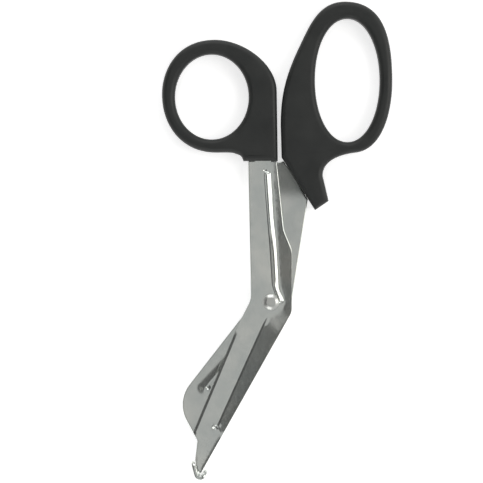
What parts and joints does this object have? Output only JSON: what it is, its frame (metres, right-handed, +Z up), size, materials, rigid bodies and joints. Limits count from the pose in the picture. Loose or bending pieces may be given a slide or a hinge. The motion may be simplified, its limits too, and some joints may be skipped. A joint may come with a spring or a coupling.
{
  "type": "scissors",
  "caption": "Bandage shears: angled steel blades with a blunt foot on the lower tip, a pivot rivet and moulded oval finger loops.",
  "frame": {"origin": "on the pivot's axis, in the plane the shears lie on, which is the flat end of the rivet's tail", "axes": "+X across the shears towards the finger loop, +Y along the shanks towards the loops, +Z up out of the front face"},
  "size_m": [0.0887, 0.1841, 0.008],
  "materials": {
    "steel": "polished stamped stainless sheet, finely grained",
    "rivet": "turned, bright",
    "plastic": "moulded, satin black"
  },
  "bodies": {
    "lower_half": {"lower_blade": "steel", "pivot_rivet": "rivet", "thumb_handle": "plastic"},
    "upper_half": {"upper_blade": "steel", "finger_handle": "plastic"}
  },
  "joints": [
    {"name": "blade_pivot", "type": "hinge", "parent": "lower_half", "child": "upper_half", "pos_m": [0, 0, 0.004], "axis": [0, 0, -1], "range_deg": [0, 70]}
  ]
}
